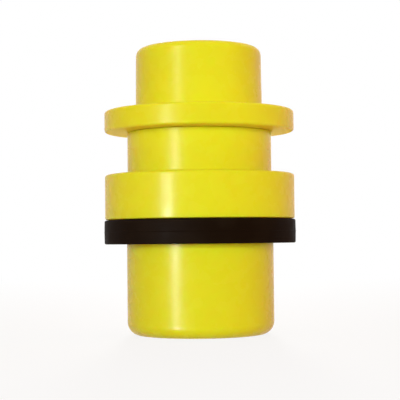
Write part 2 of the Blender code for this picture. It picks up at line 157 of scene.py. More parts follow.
class Wiring:
    """The node tree of one material, with short ways to add what the finishes share."""

    def __init__(self, name: str) -> None:
        """Starts a material that has only a Principled shader.

        Args:
            name: the material's name.
        """
        self.material = bpy.data.materials.new(name)
        self.material.use_nodes = True
        self.tree = self.material.node_tree
        self.shader = self.tree.nodes["Principled BSDF"]
        self.place = self.add("TexCoord").outputs["Object"]

    def add(self, kind: str, **settings: object) -> Node:
        """Adds a shader node.

        Args:
            kind: the node's type, without its ShaderNode prefix.
            settings: properties to set on it.

        Returns:
            The new node.
        """
        node = self.tree.nodes.new(f"ShaderNode{kind}")
        for name, value in settings.items():
            setattr(node, name, value)
        return node

    def feed(self, socket: NodeSocket, value: object) -> None:
        """Links a socket to another, or sets its value.

        Args:
            socket: the input.
            value: an output socket, a number or a colour.
        """
        if isinstance(value, NodeSocket):
            self.tree.links.new(value, socket)
        else:
            socket.default_value = value

    def noise(
        self,
        size_mm: float,
        detail: float = 2.0,
        stretch: Sequence[float] = (1, 1, 1),
    ) -> NodeSocket:
        """Cloudy noise on the piece's own coordinates.

        Args:
            size_mm: the size of its patches in millimetres.
            detail: how many finer layers it has.
            stretch: how much shorter the patches are along each axis.

        Returns:
            A value from 0 to 1.
        """
        mapping = self.add("Mapping")
        self.feed(mapping.inputs["Vector"], self.place)
        self.feed(mapping.inputs["Scale"], stretch)
        texture = self.add("TexNoise")
        self.feed(texture.inputs["Vector"], mapping.outputs["Vector"])
        self.feed(texture.inputs["Scale"], 1 / (size_mm * MM))
        self.feed(texture.inputs["Detail"], detail)
        return texture.outputs["Fac"]

    def lathe_rings(self, pitch_mm: float) -> NodeSocket:
        """Fine rings round the knob's axis, as a turning tool leaves them.

        Args:
            pitch_mm: the distance between rings in millimetres.

        Returns:
            A value from 0 to 1.
        """
        texture = self.add("TexWave", wave_type="RINGS", rings_direction="Z")
        self.feed(texture.inputs["Vector"], self.place)
        self.feed(texture.inputs["Scale"], FULL_TURN / WAVE_RADIANS / (pitch_mm * MM))
        self.feed(texture.inputs["Distortion"], 0.6)
        self.feed(texture.inputs["Detail"], 2.0)
        return texture.outputs["Fac"]

    def larger_on_flats(
        self,
        value: NodeSocket,
        flat_value: float,
        start: float = 0.80,
        end: float = 0.97,
    ) -> NodeSocket:
        """Raises a value where the piece's own surface lies level.

        Args:
            value: the value on the walls.
            flat_value: the least value on the flats.
            start: how level the surface is where the rise starts, with 1 for a flat.
            end: how level it is where the rise is full.

        Returns:
            The raised value.
        """
        parts = self.add("SeparateXYZ")
        self.feed(parts.inputs["Vector"], self.add("TexCoord").outputs["Normal"])
        level = self.add("Math", operation="ABSOLUTE")
        self.feed(level.inputs[0], parts.outputs["Z"])
        node = self.add("Math", operation="MAXIMUM")
        self.feed(node.inputs[0], value)
        self.feed(node.inputs[1], self.spread(level.outputs[0], 0.0, flat_value, start, end))
        return node.outputs[0]

    def spread(
        self,
        value: NodeSocket,
        low: float,
        high: float,
        start: float = 0.3,
        end: float = 0.7,
    ) -> NodeSocket:
        """Maps a pattern to a range.

        Args:
            value: the pattern.
            low: what its dark parts become.
            high: what its light parts become.
            start: the pattern's value that becomes low.
            end: the pattern's value that becomes high.

        Returns:
            The mapped value.
        """
        node = self.add("MapRange")
        for name, number in (("From Min", start), ("From Max", end), ("To Min", low), ("To Max", high)):
            self.feed(node.inputs[name], number)
        self.feed(node.inputs["Value"], value)
        return node.outputs["Result"]

    def between(self, share: NodeSocket, first: Sequence[float], second: Sequence[float]) -> NodeSocket:
        """Mixes two linear colours.

        Args:
            share: how much of the second colour shows.
            first: red, green and blue.
            second: red, green and blue.

        Returns:
            The mixed colour.
        """
        node = self.add("Mix", data_type="RGBA")
        self.feed(node.inputs["Factor"], share)
        for index, colour in zip(MIX_COLOUR_INPUTS, (first, second)):
            self.feed(node.inputs[index], (*colour, 1.0))
        return node.outputs[MIX_COLOUR_OUTPUT]

    def relief(
        self,
        height: NodeSocket,
        depth_mm: float,
        strength: float,
        under: NodeSocket | None = None,
    ) -> NodeSocket:
        """Bump from a height pattern.

        Args:
            height: the pattern.
            depth_mm: its depth in millimetres.
            strength: how strongly it shows.
            under: a bump that lies under this one.

        Returns:
            The bumped normal.
        """
        node = self.add("Bump")
        self.feed(node.inputs["Height"], height)
        self.feed(node.inputs["Distance"], depth_mm * MM)
        self.feed(node.inputs["Strength"], strength)
        if under is not None:
            self.feed(node.inputs["Normal"], under)
        return node.outputs["Normal"]

    def set_shader(self, **values: object) -> Material:
        """Feeds the Principled shader's inputs.

        Args:
            values: input names with underscores, and their sockets or constants.

        Returns:
            The finished material.
        """
        for name, value in values.items():
            self.feed(self.shader.inputs[name.replace("_", " ")], value)
        return self.material


@dataclass(frozen=True)
class MouldedPlastic:
    """Glossy pigmented plastic, a little see-through at its skin, as it comes from a polished mould."""

    name: str
    colour: Colour
    deep: Colour
    gloss: tuple[float, float] = (0.22, 0.32)
    matt: float = 0.75
    cloud_mm: float = 9.0
    haze_mm: float = 2.4
    peel_mm: float = 0.55
    peel_depth_mm: float = 0.012
    scuff_mm: float = 0.9
    scuff_depth_mm: float = 0.004
    skin_mm: float = 2.0

    def material(self) -> Material:
        """Builds the finish: flow clouds in the pigment, polished walls, matt flats and orange peel.

        Returns:
            The material.
        """
        wiring = Wiring(self.name)
        clouds = wiring.noise(self.cloud_mm, detail=4.0, stretch=(1, 1, 0.5))
        haze = wiring.noise(self.haze_mm, detail=5.0)
        peel = wiring.relief(wiring.noise(self.peel_mm), self.peel_depth_mm, strength=0.25)
        scuffs = wiring.noise(self.scuff_mm, detail=6.0, stretch=(1, 1, 0.08))
        return wiring.set_shader(
            Base_Color=wiring.between(wiring.spread(clouds, 0.0, 1.0), self.colour, self.deep),
            Roughness=wiring.larger_on_flats(wiring.spread(haze, *self.gloss), self.matt),
            Normal=wiring.relief(scuffs, self.scuff_depth_mm, strength=0.2, under=peel),
            IOR=1.49,
            Specular_IOR_Level=0.12,
            Subsurface_Weight=0.5,
            Subsurface_Radius=(1.0, 0.35, 0.06),
            Subsurface_Scale=self.skin_mm * MM,
            Sheen_Weight=0.3,
            Sheen_Roughness=0.5,
            Sheen_Tint=(1.0, 0.5, 0.05, 1.0),
        )


@dataclass(frozen=True)
class MouldedRubber:
    """Matt black rubber with a dusty bloom and a fine moulded grain."""

    name: str
    colour: Colour
    bloom: Colour
    gloss: tuple[float, float] = (0.46, 0.66)
    patch_mm: float = 3.5
    grain_mm: float = 0.16
    grain_depth_mm: float = 0.02

    def material(self) -> Material:
        """Builds the finish: bloom in soft patches over a grainy skin.

        Returns:
            The material.
        """
        wiring = Wiring(self.name)
        patches = wiring.noise(self.patch_mm, detail=6.0)
        dust = wiring.spread(patches, 0.0, 0.6, start=0.42, end=0.72)
        grain = wiring.noise(self.grain_mm, detail=3.0)
        return wiring.set_shader(
            Base_Color=wiring.between(dust, self.colour, self.bloom),
            Roughness=wiring.spread(patches, *self.gloss),
            Normal=wiring.relief(grain, self.grain_depth_mm, strength=0.45),
            Specular_IOR_Level=0.015,
        )


@dataclass(frozen=True)
class TurnedMetal:
    """Bare or plated metal with the rings of its turning and a slightly uneven tone."""

    name: str
    colour: Colour
    stain: Colour
    gloss: tuple[float, float]
    ring_pitch_mm: float
    ring_depth_mm: float = 0.01
    stain_mm: float = 1.8
    smear_mm: float = 0.7

    def material(self) -> Material:
        """Builds the finish: stained patches, smeared gloss and turning rings.

        Returns:
            The material.
        """
        wiring = Wiring(self.name)
        stains = wiring.spread(wiring.noise(self.stain_mm, detail=5.0), 0.0, 0.8, start=0.4, end=0.75)
        smears = wiring.noise(self.smear_mm, detail=4.0)
        rings = wiring.lathe_rings(self.ring_pitch_mm)
        return wiring.set_shader(
            Base_Color=wiring.between(stains, self.colour, self.stain),
            Roughness=wiring.spread(smears, *self.gloss),
            Normal=wiring.relief(rings, self.ring_depth_mm, strength=0.25),
            Metallic=1.0,
        )


@dataclass(frozen=True)
class Finishes:
    """The finished materials, one for each slot."""

    yellow: Material
    rubber: Material
    brass: Material
    steel: Material

    @classmethod
    def make(cls) -> "Finishes":
        """Builds the four materials.

        Returns:
            The materials.
        """
        yellow = MouldedPlastic("yellow_moulding", (0.86, 0.78, 0.018), (0.83, 0.74, 0.014))
        rubber = MouldedRubber("black_ring_rubber", (0.0095, 0.0042, 0.0018), (0.016, 0.0085, 0.0045))
        brass = TurnedMetal("insert_brass", (0.66, 0.46, 0.17), (0.48, 0.31, 0.10), (0.22, 0.38), 0.12)
        steel = TurnedMetal("zinc_plated_steel", (0.52, 0.53, 0.54), (0.36, 0.36, 0.34), (0.22, 0.40), 0.16)
        return cls(yellow.material(), rubber.material(), brass.material(), steel.material())


def merged(shape: BMesh) -> BMesh:
    """Merges a shape's doubles and turns its faces outwards.

    Args:
        shape: the shape to mend.

    Returns:
        The same shape.
    """
    bmesh.ops.remove_doubles(shape, verts=shape.verts[:], dist=WELD)
    bmesh.ops.recalc_face_normals(shape, faces=shape.faces[:])
    return shape


def outline_wire(outline: Sequence[Corner], closed: bool) -> BMesh:
    """Draws an outline in the XZ plane and rounds its corners.

    Args:
        outline: its corners.
        closed: whether the last corner joins the first.

    Returns:
        A wire of vertices and edges.
    """
    wire = bmesh.new()
    points = [wire.verts.new((corner.radius * MM, 0.0, corner.height * MM)) for corner in outline]
    for first, second in pairwise(points):
        wire.edges.new((first, second))
    if closed:
        wire.edges.new((points[-1], points[0]))
    for point, corner in zip(points, outline):
        if corner.round > 0:
            bmesh.ops.bevel(
                wire,
                geom=[point],
                offset=corner.round * MM,
                offset_type="OFFSET",
                affect="VERTICES",
                segments=ROUND_SEGMENTS,
                profile=0.5,
                material=-1,
            )
    return wire


def wind(shape: BMesh, steps: int, angle: float = FULL_TURN, rise_mm: float = 0.0) -> None:
    """Sweeps a wire round the knob's axis, and joins its ends where it goes round just once.

    Args:
        shape: the wire, which becomes a surface.
        steps: how many faces there are along the way.
        angle: how far it goes round, in radians.
        rise_mm: how far it rises on the way, in millimetres.
    """
    bmesh.ops.spin(
        shape,
        geom=shape.verts[:] + shape.edges[:],
        cent=(0, 0, 0),
        axis=(0, 0, 1),
        dvec=(0, 0, rise_mm * MM / steps),
        angle=angle,
        steps=steps,
        use_merge=angle == FULL_TURN,
        use_duplicate=False,
    )


def turned(outline: Sequence[Corner], steps: int, closed: bool = True) -> BMesh:
    """Turns an outline round the knob's axis.

    Args:
        outline: its corners.
        steps: how many faces go round.
        closed: whether the outline closes on itself, as a ring's does.

    Returns:
        The turned shape.
    """
    shape = outline_wire(outline, closed)
    wind(shape, steps)
    return merged(shape)


def block(sides: Sequence[float], centre: Sequence[float], edge: float, turn: float = 0.0) -> BMesh:
    """A box with softened edges.

    Args:
        sides: its sides in millimetres.
        centre: its middle in millimetres, before it is turned round Z.
        edge: the round of its edges in millimetres.
        turn: how far it is turned round the knob's axis, in radians.

    Returns:
        The box.
    """
    shape = bmesh.new()
    bmesh.ops.create_cube(shape, size=1.0)
    bmesh.ops.scale(shape, vec=Vector(sides) * MM, verts=shape.verts[:])
    bmesh.ops.bevel(
        shape,
        geom=shape.edges[:],
        offset=edge * MM,
        offset_type="OFFSET",
        affect="EDGES",
        segments=BLOCK_SEGMENTS,
        profile=0.5,
        material=-1,
    )
    bmesh.ops.translate(shape, vec=Vector(centre) * MM, verts=shape.verts[:])
    bmesh.ops.rotate(shape, cent=(0, 0, 0), matrix=Matrix.Rotation(turn, 3, "Z"), verts=shape.verts[:])
    return merged(shape)


def loose_object(name: str, shape: BMesh) -> Object:
    """Makes an object from a shape, which it uses up.

    Args:
        name: the object's name.
        shape: its shape.

    Returns:
        The object, at the origin.
    """
    mesh = bpy.data.meshes.new(name)
    shape.to_mesh(mesh)
    shape.free()
    made = bpy.data.objects.new(name, mesh)
    bpy.context.scene.collection.objects.link(made)
    return made


def combined(shape: BMesh, tool: BMesh, how: Joining) -> BMesh:
    """Adds one shape to another or cuts it out.

    Args:
        shape: the shape that is kept.
        tool: the shape that is added or cut out.
        how: which of the two is done.

    Returns:
        The combined shape.
    """
    target = loose_object("combining_target", shape)
    other = loose_object("combining_tool", tool)
    modifier = target.modifiers.new("Combine", "BOOLEAN")
    modifier.operation = how.value
    modifier.object = other
    result = bmesh.new()
    result.from_object(target, bpy.context.evaluated_depsgraph_get())
    for used in (target, other):
        mesh = used.data
        bpy.data.objects.remove(used)
        bpy.data.meshes.remove(mesh)
    return merged(result)


def push_radially(verts: Sequence[BMVert], distance_mm: float) -> None:
    """Moves vertices away from the knob's axis.

    Args:
        verts: the vertices.
        distance_mm: how far, in millimetres.
    """
    for vert in verts:
        away = Vector((vert.co.x, vert.co.y, 0.0)).normalized()
        vert.co += away * distance_mm * MM


def reach(vert: BMVert) -> float:
    """A vertex's distance from the knob's axis, in millimetres."""
    return math.hypot(vert.co.x, vert.co.y) / MM


def in_hollow(vert: BMVert) -> bool:
    """Whether a vertex is in one of a knurl's hollows, which are every second column."""
    column = round(math.atan2(vert.co.y, vert.co.x) / FULL_TURN * INNER_STEPS)
    return column % 2 == 0


def open_edges(shape: BMesh) -> list[BMEdge]:
    """The edges round a shape's openings."""
    return [edge for edge in shape.edges if edge.is_boundary]


def close_ends(shape: BMesh) -> None:
    """Closes a shape's openings with flat faces."""
    bmesh.ops.holes_fill(shape, edges=open_edges(shape), sides=0)


def take_in(shape: BMesh, other: BMesh) -> None:
    """Puts one shape beside another in the same mesh, without joining them.

    Args:
        shape: the shape that grows.
        other: the shape that goes into it, which is used up.
    """
    mesh = bpy.data.meshes.new("taken_in")
    other.to_mesh(mesh)
    other.free()
    shape.from_mesh(mesh)
    bpy.data.meshes.remove(mesh)


def slice_along(shape: BMesh, place: Sequence[float], facing: Sequence[float], trims: bool = False) -> None:
    """Cuts a shape along a plane.

    Args:
        shape: the shape.
        place: a point of the plane, in metres.
        facing: the way that the plane faces.
        trims: whether what lies before the plane is taken off.
    """
    bmesh.ops.bisect_plane(
        shape,
        geom=shape.verts[:] + shape.edges[:] + shape.faces[:],
        dist=WELD,
        plane_co=place,
        plane_no=facing,
        clear_outer=trims,
    )


def add_parting_line(shape: BMesh, skin: Callable[[BMVert], bool]) -> None:
    """Raises the fine line that the mould's two halves leave on both sides of a moulding.

    Args:
        shape: the moulding.
        skin: tells which vertices are on the moulding's outside.
    """
    for side in (-PARTING_HALF_WIDTH_MM, 0.0, PARTING_HALF_WIDTH_MM):
        slice_along(shape, (0, side * MM, 0), (0, 1, 0))
    line = [vert for vert in shape.verts if abs(vert.co.y) < WELD and skin(vert)]
    push_radially(line, PARTING_HEIGHT_MM)


def thread_section(start: float, middle: float, pitch: float, shares: Sequence[float]) -> list[Corner]:
    """One pitch of a thread's outline, from low to high.

    Args:
        start: the radius of its two ends, in millimetres.
        middle: the radius of its middle, in millimetres.
        pitch: the thread's pitch in millimetres.
        shares: the shares of the pitch at which the first flat ends and the middle one starts and ends.

    Returns:
        The outline's corners.
    """
    first_end, middle_start, middle_end = (share * pitch for share in shares)
    return [
        Corner(start, 0.0),
        Corner(start, first_end),
        Corner(middle, middle_start),
        Corner(middle, middle_end),
        Corner(start, pitch),
    ]


def helix(section: Sequence[Corner], pitch: float, bottom: float, top: float) -> BMesh:
    """Winds a thread's section round the knob's axis and trims it to length.

    Args:
        section: one pitch of the thread's outline, from low to high.
        pitch: the thread's pitch in millimetres.
        bottom: where it starts, in millimetres.
        top: where it ends, in millimetres.

    Returns:
        The thread's open surface.
    """
    turns = math.ceil((top - bottom) / pitch) + 2
    shape = outline_wire([Corner(c.radius, c.height + bottom - pitch) for c in section], closed=False)
    wind(shape, THREAD_STEPS * turns, FULL_TURN * turns, pitch * turns)
    bmesh.ops.remove_doubles(shape, verts=shape.verts[:], dist=WELD)
    for level, way in ((bottom, -1), (top, 1)):
        slice_along(shape, (0, 0, level * MM), (0, 0, way), trims=True)
    return shape


def show(name: str, shape: BMesh, finish: Material, body: Body, slot: Slot, *nodes: str) -> Object:
    """Turns a shape into a finished piece that rides on a body.

    Args:
        name: the piece's name.
        shape: its shape, which is used up.
        finish: its material.
        body: the body that carries it.
        slot: the record's material slot; not used.
        nodes: the solids that it stands for.

    Returns:
        The piece.
    """
    piece = loose_object(name, shape)
    piece.data.shade_smooth()
    piece.data.set_sharp_from_angle(angle=SHARP_ANGLE)
    piece.data.materials.append(finish)
    weights = piece.modifiers.new("Even shading", "WEIGHTED_NORMAL")
    weights.keep_sharp = True
    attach(piece, body.value)
    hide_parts(*nodes)
    LOG.info("%s rides on %s, %d faces", name, body.value, len(piece.data.polygons))
    return piece


@dataclass(frozen=True)
class Fits:
    """Sizes that several sub-assemblies share, in millimetres."""

    seat_gap: float = 0.10
    slip: float = 0.10
    bolt_radius: float = 3.00
    bolt_hole: float = 3.30
    key_reach: float = 6.40
    key_width: float = 2.80
    thread_pitch: float = 1.00


@dataclass
class BaseMoulding:
    """Spigot, collar and neck: the lower moulding, cored and ribbed from below."""

    fits: Fits
    body: Extent = reach_of("base_body")
    seal: Extent = reach_of("seal_ring")
    insert: Extent = reach_of("thread_insert")
    o_ring: Extent = reach_of("cap_o_ring")
    keeper: Extent = reach_of("keeper_ring")
    spigot_radius: float = 10.33
    nose: float = 1.80
    collar_height: float = 6.30
    neck_radius: float = 10.16
    neck_rise: float = 0.06
    edge: float = 0.40
    neck_bore: float = 5.70
    keeper_room: float = 1.00
    groove_inner: float = 7.30
    groove_outer: float = 9.00
    pocket_radius: float = 7.93
    pocket_draft: float = 0.10
    web: float = 2.50
    boss_radius: float = 6.30
    boss_bottom: float = 1.00
    insert_radius: float = 4.30
    insert_flange_height: float = 1.00
    rib_count: int = 6
    rib_thickness: float = 1.20
    rib_recess: float = 1.60
    rib_embed: float = 0.25
    rib_edge: float = 0.18
    gate_radius: float = 0.42
    gate_taper: float = 0.70
    gate_height: float = 0.12
    gate_length: float = 0.48
    gate_segments: int = 24
    keyway_rise: float = 1.70
    keyway_edge: float = 0.15
    skin_margin: float = 0.20

    @property
    def bore_floor(self) -> float:
        """The height of the neck's bore's floor."""
        return self.keeper.bottom - self.keeper_room

    @property
    def pocket_ceiling(self) -> float:
        """The height to which the underside is cored."""
        return self.bore_floor - self.web

    @property
    def insert_seat(self) -> float:
        """The radius of the recess for the insert's flange."""
        return self.insert.radius + self.fits.slip

    def outline(self) -> list[Corner]:
        """The moulding's section, down its outside and up through its bore.

        Returns:
            The section's corners.
        """
        neck_top = self.body.top + self.neck_rise
        collar_bottom = self.seal.top + self.fits.seat_gap
        collar_top = collar_bottom + self.collar_height
        groove_floor = self.o_ring.bottom - self.fits.seat_gap / 2
        insert_top = self.insert.top + self.fits.seat_gap
        insert_shoulder = self.insert.bottom + self.insert_flange_height + self.fits.seat_gap
        bolt_hole = self.fits.bolt_hole
        return [
            Corner(self.neck_bore, neck_top, 0.25),
            Corner(self.groove_inner, neck_top, 0.12),
            Corner(self.groove_inner, groove_floor, 0.20),
            Corner(self.groove_outer, groove_floor, 0.20),
            Corner(self.groove_outer, neck_top, 0.12),
            Corner(self.neck_radius, neck_top, 0.12),
            Corner(self.neck_radius, collar_top, 0.30),
            Corner(self.body.radius, collar_top, self.edge),
            Corner(self.body.radius, collar_bottom, 0.20),
            Corner(self.spigot_radius, collar_bottom, 0.10),
            Corner(self.spigot_radius, 0.0, self.nose),
            Corner(self.pocket_radius, 0.0, 0.20),
            Corner(self.pocket_radius - self.pocket_draft, self.pocket_ceiling, 0.50),
            Corner(self.boss_radius, self.pocket_ceiling, 0.50),
            Corner(self.boss_radius, self.boss_bottom, 0.20),
            Corner(self.insert_seat, self.boss_bottom, 0.10),
            Corner(self.insert_seat, insert_shoulder),
            Corner(self.insert_radius, insert_shoulder),
            Corner(self.insert_radius, insert_top),
            Corner(bolt_hole, insert_top),
            Corner(bolt_hole, self.bore_floor, 0.20),
            Corner(self.neck_bore, self.bore_floor, 0.30),
        ]

    def ribs(self) -> BMesh:
        """The ribs between the boss and the skirt.

        Returns:
            One shape of separate blocks.
        """
        ribs = bmesh.new()
        length = self.pocket_radius - self.boss_radius + 2 * self.rib_embed
        height = self.pocket_ceiling - self.rib_recess + self.rib_embed
        middle = (self.pocket_radius + self.boss_radius) / 2
        centre = (middle, 0.0, self.rib_recess + height / 2)
        for index in range(self.rib_count):
            turn = FULL_TURN * (index + 0.5) / self.rib_count
            take_in(ribs, block((length, self.rib_thickness, height), centre, self.rib_edge, turn))
        return ribs

    def gate(self) -> BMesh:
        """The stub that is left where the plastic ran in, on the boss between two ribs.

        Returns:
            The stub, part of which lies in the boss.
        """
        stub = bmesh.new()
        bmesh.ops.create_cone(
            stub,
            cap_ends=True,
            segments=self.gate_segments,
            radius1=self.gate_radius * self.gate_taper * MM,
            radius2=self.gate_radius * MM,
            depth=self.gate_length * MM,
        )
        middle = (self.boss_radius + self.insert_seat) / 2
        place = Vector((middle, 0.0, self.boss_bottom + self.gate_height))
        bmesh.ops.translate(stub, vec=place * MM, verts=stub.verts[:])
        return stub

    def keyway(self) -> BMesh:
        """The slot across the neck's bore for the cap's two keys.

        Returns:
            The block that is cut out.
        """
        length = 2 * (self.fits.key_reach + self.fits.slip)
        width = self.fits.key_width + 2 * self.fits.slip
        height = self.body.top - self.bore_floor
        middle = (0, 0, self.bore_floor + self.keyway_rise + height / 2)
        return block((length, width, height), middle, self.keyway_edge)

    def build(self, finishes: Finishes) -> Object:
        """Builds and dresses the moulding.

        Args:
            finishes: the materials.

        Returns:
            The piece.
        """
        shape = turned(self.outline(), OUTER_STEPS)
        add_parting_line(shape, self.is_outside)
        shape = combined(shape, self.ribs(), Joining.ADD)
        shape = combined(shape, self.gate(), Joining.ADD)
        shape = combined(shape, self.keyway(), Joining.CUT)
        return show("base_moulding", shape, finishes.yellow, Body.BASE, Slot.YELLOW, "base_body")

    def is_outside(self, vert: BMVert) -> bool:
        """Whether a vertex is on the outer skin, where a parting line shows."""
        return reach(vert) > self.groove_outer + self.skin_margin


@dataclass
class SealRing:
    """Flat rubber ring between the collar and the end of the pipe."""

    solid: Extent = reach_of("seal_ring")
    bore: float = 10.43
    edge: float = 0.22
    bulge: float = 0.03
    flash: float = 0.05

    def build(self, finishes: Finishes) -> Object:
        """Builds and dresses the ring.

        Args:
            finishes: the materials.

        Returns:
            The piece.
        """
        top, bottom, radius = self.solid.top, self.solid.bottom, self.solid.radius
        middle = (top + bottom) / 2
        outline = [
            Corner(radius, top, self.edge),
            Corner(radius + self.bulge, middle + self.flash),
            Corner(radius + self.bulge + self.flash, middle, 0.02),
            Corner(radius + self.bulge, middle - self.flash),
            Corner(radius, bottom, self.edge),
            Corner(self.bore, bottom, 0.10),
            Corner(self.bore, top, 0.10),
        ]
        shape = turned(outline, OUTER_STEPS)
        return show("weather_ring", shape, finishes.rubber, Body.BASE, Slot.RUBBER, "seal_ring")


@dataclass
class NeckSeal:
    """O-ring in the neck's top face."""

    solid: Extent = reach_of("cap_o_ring")
    middle: float = 8.15
    cord_segments: int = 28

    def build(self, finishes: Finishes) -> Object:
        """Builds and dresses the O-ring.

        Args:
            finishes: the materials.

        Returns:
            The piece.
        """
        cord_radius = (self.solid.top - self.solid.bottom) / 2
        centre = Vector((self.middle, 0.0, self.solid.bottom + cord_radius)) * MM
        shape = bmesh.new()
        bmesh.ops.create_circle(shape, radius=cord_radius * MM, segments=self.cord_segments)
        upright = Matrix.Rotation(math.pi / 2, 3, "X")
        bmesh.ops.rotate(shape, cent=(0, 0, 0), matrix=upright, verts=shape.verts[:])
        bmesh.ops.translate(shape, vec=centre, verts=shape.verts[:])
        wind(shape, INNER_STEPS)
        return show("neck_o_ring", merged(shape), finishes.rubber, Body.BASE, Slot.RUBBER, "cap_o_ring")


@dataclass
class ThreadInsert:
    """Flanged brass insert with two knurled bands and a threaded bore."""

    fits: Fits
    solid: Extent = reach_of("thread_insert")
    radius: float = 4.20
    flange_height: float = 1.00
    waist_depth: float = 0.35
    waist_height: float = 1.60
    bore: float = 3.10
    chamfer: float = 0.30
    thread_depth: float = 0.40
    thread_shares: tuple[float, float, float] = (0.20, 0.52, 0.68)
    knurl_depth: float = 0.14
    knurl_margin: float = 0.02

    def build(self, finishes: Finishes) -> Object:
        """Builds and dresses the insert.

        Args:
            finishes: the materials.

        Returns:
            The piece.
        """
        top, bottom = self.solid.top, self.solid.bottom
        shoulder = bottom + self.flange_height
        middle = (shoulder + top) / 2
        waist = self.radius - self.waist_depth
        half = self.waist_height / 2
        mouth = self.bore + self.thread_depth
        outline = [
            Corner(mouth, top),
            Corner(self.radius, top, 0.30),
            Corner(self.radius, middle + half, 0.10),
            Corner(waist, middle + half, 0.10),
            Corner(waist, middle - half, 0.10),
            Corner(self.radius, middle - half, 0.10),
            Corner(self.radius, shoulder, 0.10),
            Corner(self.solid.radius, shoulder, 0.15),
            Corner(self.solid.radius, bottom, 0.15),
            Corner(mouth, bottom),
        ]
        shape = turned(outline, INNER_STEPS, closed=False)
        bands = [vert for vert in shape.verts if abs(reach(vert) - self.radius) < self.knurl_margin]
        push_radially([vert for vert in bands if in_hollow(vert)], -self.knurl_depth)
        self.add_thread(shape, mouth)
        shape = merged(shape)
        return show("thread_insert_brass", shape, finishes.brass, Body.BASE, Slot.BRASS, "thread_insert")

    def add_thread(self, shape: BMesh, mouth: float) -> None:
        """Winds the bore's thread and joins it to the insert's two mouths.

        Args:
            shape: the insert's outside, open at both mouths.
            mouth: the radius of the mouths in millimetres.
        """
        pitch = self.fits.thread_pitch
        bottom, top = self.solid.bottom, self.solid.top
        section = thread_section(self.bore, mouth, pitch, self.thread_shares)
        take_in(shape, helix(section, pitch, bottom + self.chamfer, top - self.chamfer))
        for level in (bottom, top):
            rims = [
                edge
                for edge in open_edges(shape)
                if abs(edge.verts[0].co.z / MM - level) < 2 * self.chamfer
            ]
            bmesh.ops.bridge_loops(shape, edges=rims)


@dataclass
class CapMoulding:
    """Head and thin flange: the upper moulding, with a keyed boss below and a counterbore above."""

    fits: Fits
    solid: Extent = reach_of("cap_body")
    base: Extent = reach_of("base_body")
    plain_washer: Extent = reach_of("flat_washer")
    plug: Extent = reach_of("cover_plug")
    head_radius: float = 8.93
    head_draft: float = 0.10
    head_round: float = 1.05
    flange_height: float = 2.96
    edge: float = 0.40
    boss_radius: float = 5.60
    lead: float = 0.40
    counterbore: float = 6.30
    plug_thickness: float = 1.20
    key_root: float = 0.50
    key_embed: float = 0.80
    key_edge: float = 0.15
    skin_depth: float = 0.60
    skin_margin: float = 0.01

    @property
    def flange_bottom(self) -> float:
        """The height of the flange's underside, which seats on the neck."""
        return self.base.top + self.fits.seat_gap

    def outline(self) -> list[Corner]:
        """The moulding's section, down its outside and up through its bore.

        Returns:
            The section's corners.
        """
        head_top, boss_bottom = self.solid.top, self.solid.bottom
        flange_radius, flange_bottom = self.solid.radius, self.flange_bottom
        flange_top = flange_bottom + self.flange_height
        seat_radius = self.plug.radius + self.fits.slip
        ledge = self.plug.top - self.plug_thickness - self.fits.seat_gap
        floor = self.plain_washer.bottom - self.fits.seat_gap
        bolt_hole = self.fits.bolt_hole
        return [
            Corner(seat_radius, head_top, 0.15),
            Corner(self.head_radius - self.head_draft, head_top, self.head_round),
            Corner(self.head_radius, flange_top, 0.30),
            Corner(flange_radius, flange_top, self.edge),
            Corner(flange_radius, flange_bottom, self.edge),
            Corner(self.boss_radius, flange_bottom, 0.20),
            Corner(self.boss_radius, boss_bottom, self.lead),
            Corner(bolt_hole, boss_bottom, 0.20),
            Corner(bolt_hole, floor, 0.15),
            Corner(self.counterbore, floor, 0.25),
            Corner(self.counterbore, ledge, 0.08),
            Corner(seat_radius, ledge, 0.05),
        ]

    def build(self, finishes: Finishes) -> Object:
        """Builds and dresses the moulding.

        Args:
            finishes: the materials.

        Returns:
            The piece.
        """
        shape = turned(self.outline(), OUTER_STEPS)
        add_parting_line(shape, self.is_outside)
        bottom = self.solid.bottom + self.lead + self.fits.seat_gap
        height = self.flange_bottom + self.key_root - bottom
        length = self.fits.key_reach - self.boss_radius + self.key_embed
        centre = (self.fits.key_reach - length / 2, 0.0, bottom + height / 2)
        for side in (0.0, math.pi):
            key = block((length, self.fits.key_width, height), centre, self.key_edge, side)
            shape = combined(shape, key, Joining.ADD)
        return show("cap_moulding", shape, finishes.yellow, Body.CAP, Slot.YELLOW, "cap_body")

    def is_outside(self, vert: BMVert) -> bool:
        """Whether a vertex is on the outer skin, where a parting line shows."""
        above = vert.co.z / MM - self.flange_bottom
        return reach(vert) > self.head_radius - self.skin_depth and above > self.skin_margin


